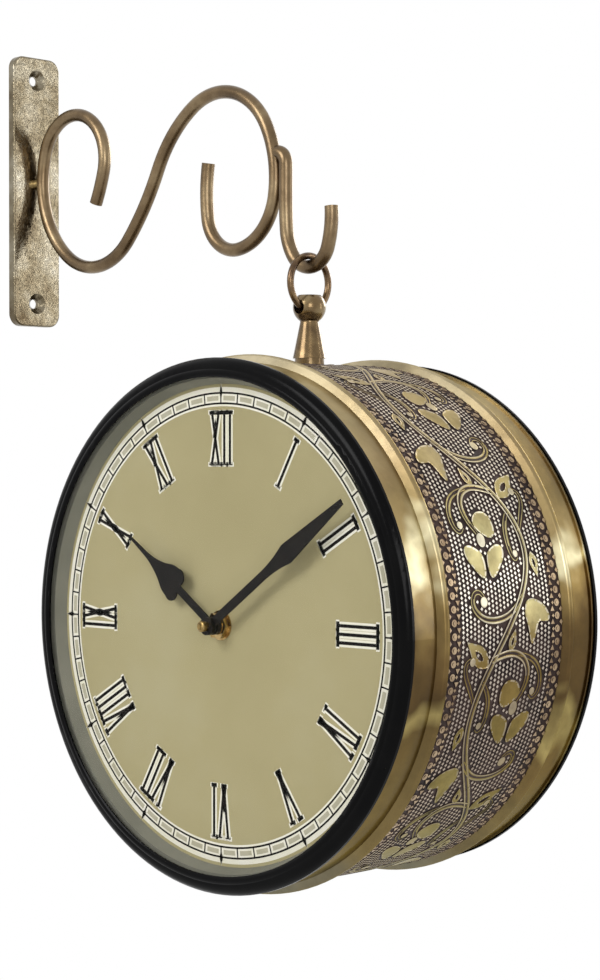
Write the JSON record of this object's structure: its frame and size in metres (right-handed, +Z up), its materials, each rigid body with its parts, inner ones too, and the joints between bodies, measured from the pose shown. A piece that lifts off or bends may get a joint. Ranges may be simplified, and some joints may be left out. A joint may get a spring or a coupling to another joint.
{
  "type": "double sided station clock",
  "caption": "Round double sided wall clock with an embossed brass drum, hung by a ring from a scroll bracket; faces draw off and the hands turn.",
  "frame": {"origin": "centre of the wall plate's back face, on the wall", "axes": "+X away from the wall, +Z up, the front dial faces -Y and the rear dial faces +Y"},
  "size_m": [0.3006, 0.1436, 0.3746],
  "materials": {
    "plate_brass": "hammered, polished, pale",
    "rod_brass": "antique brass, satin",
    "ring_brass": "antique brass, satin",
    "turned_brass": "antique brass, turned",
    "zinc_steel": "zinc plated",
    "barrel_steel": "plain sheet",
    "embossed_brass": "embossed, dark patina in the hollows",
    "collar_brass": "spun, aged, satin",
    "black_enamel": "gloss black",
    "clear_glass": "clear, domed",
    "spacer_plastic": "grey green",
    "dial_print": "printed, matte cream",
    "cushion_rubber": "soft",
    "bush_brass": "bright",
    "case_plastic": "moulded",
    "contact_steel": "nickel plated",
    "cell_jacket": "plain jacket",
    "knob_plastic": "moulded",
    "hand_enamel": "dark brown-black, satin"
  },
  "bodies": {
    "bracket": {"wall_plate": "plate_brass", "scroll_rivet": "rod_brass", "scroll_arm": "rod_brass", "drop_hook": "rod_brass"},
    "ring": {"hanging_ring": "ring_brass"},
    "clock": {"hanger_finial": "turned_brass", "finial_washer": "zinc_steel", "finial_nut": "zinc_steel", "drum_barrel": "barrel_steel", "embossed_band": "embossed_brass", "front_collar": "collar_brass", "rear_collar": "collar_brass"},
    "front_face": {"front_bezel": "black_enamel", "front_glass": "clear_glass", "front_spacer_ring": "spacer_plastic", "front_dial_plate": "dial_print", "front_snap_ring": "zinc_steel", "front_movement_cushion": "cushion_rubber", "front_movement_bush": "bush_brass", "front_bush_washer": "bush_brass", "front_bush_nut": "bush_brass", "front_movement_case": "case_plastic", "front_battery_contacts": "contact_steel"},
    "front_cell": {"front_battery": "cell_jacket"},
    "front_minute": {"front_minute_arbor": "bush_brass", "front_minute_hand": "hand_enamel", "front_hand_cap": "bush_brass", "front_setting_knob": "knob_plastic"},
    "front_hour": {"front_hour_pipe": "bush_brass", "front_hour_hand": "hand_enamel"},
    "rear_face": {"rear_bezel": "black_enamel", "rear_glass": "clear_glass", "rear_spacer_ring": "spacer_plastic", "rear_dial_plate": "dial_print", "rear_snap_ring": "zinc_steel", "rear_movement_cushion": "cushion_rubber", "rear_movement_bush": "bush_brass", "rear_bush_washer": "bush_brass", "rear_bush_nut": "bush_brass", "rear_movement_case": "case_plastic", "rear_battery_contacts": "contact_steel"},
    "rear_cell": {"rear_battery": "cell_jacket"},
    "rear_minute": {"rear_minute_arbor": "bush_brass", "rear_minute_hand": "hand_enamel", "rear_hand_cap": "bush_brass", "rear_setting_knob": "knob_plastic"},
    "rear_hour": {"rear_hour_pipe": "bush_brass", "rear_hour_hand": "hand_enamel"}
  },
  "joints": [
    {"name": "ring_swing", "type": "hinge", "parent": "bracket", "child": "ring", "pos_m": [0.18868, 0, -0.0472], "axis": [1, 0, 0], "range_deg": [-30, 30]},
    {"name": "clock_sway", "type": "hinge", "parent": "ring", "child": "clock", "pos_m": [0.18868, 0, -0.06452], "axis": [0, 1, 0], "range_deg": [-35, 35]},
    {"name": "front_face_pull", "type": "slide", "parent": "clock", "child": "front_face", "axis": [0, -1, 0], "range_m": [0, 0.06]},
    {"name": "front_battery_lift", "type": "slide", "parent": "front_face", "child": "front_cell", "axis": [0, 1, 0], "range_m": [0, 0.02]},
    {"name": "front_minute_turn", "type": "hinge", "parent": "front_face", "child": "front_minute", "pos_m": [0.18868, 0, -0.19772], "axis": [0, 1, 0], "continuous": true},
    {"name": "front_hour_turn", "type": "hinge", "parent": "front_face", "child": "front_hour", "pos_m": [0.18868, 0, -0.19772], "axis": [0, 1, 0], "continuous": true},
    {"name": "rear_face_pull", "type": "slide", "parent": "clock", "child": "rear_face", "axis": [0, 1, 0], "range_m": [0, 0.06]},
    {"name": "rear_battery_lift", "type": "slide", "parent": "rear_face", "child": "rear_cell", "axis": [0, -1, 0], "range_m": [0, 0.02]},
    {"name": "rear_minute_turn", "type": "hinge", "parent": "rear_face", "child": "rear_minute", "pos_m": [0.18868, 0, -0.19772], "axis": [0, -1, 0], "continuous": true},
    {"name": "rear_hour_turn", "type": "hinge", "parent": "rear_face", "child": "rear_hour", "pos_m": [0.18868, 0, -0.19772], "axis": [0, -1, 0], "continuous": true}
  ],
  "couplings": [
    {"joint": "front_hour_turn", "follows": "front_minute_turn", "ratio": 0.083333},
    {"joint": "rear_hour_turn", "follows": "rear_minute_turn", "ratio": 0.083333}
  ]
}
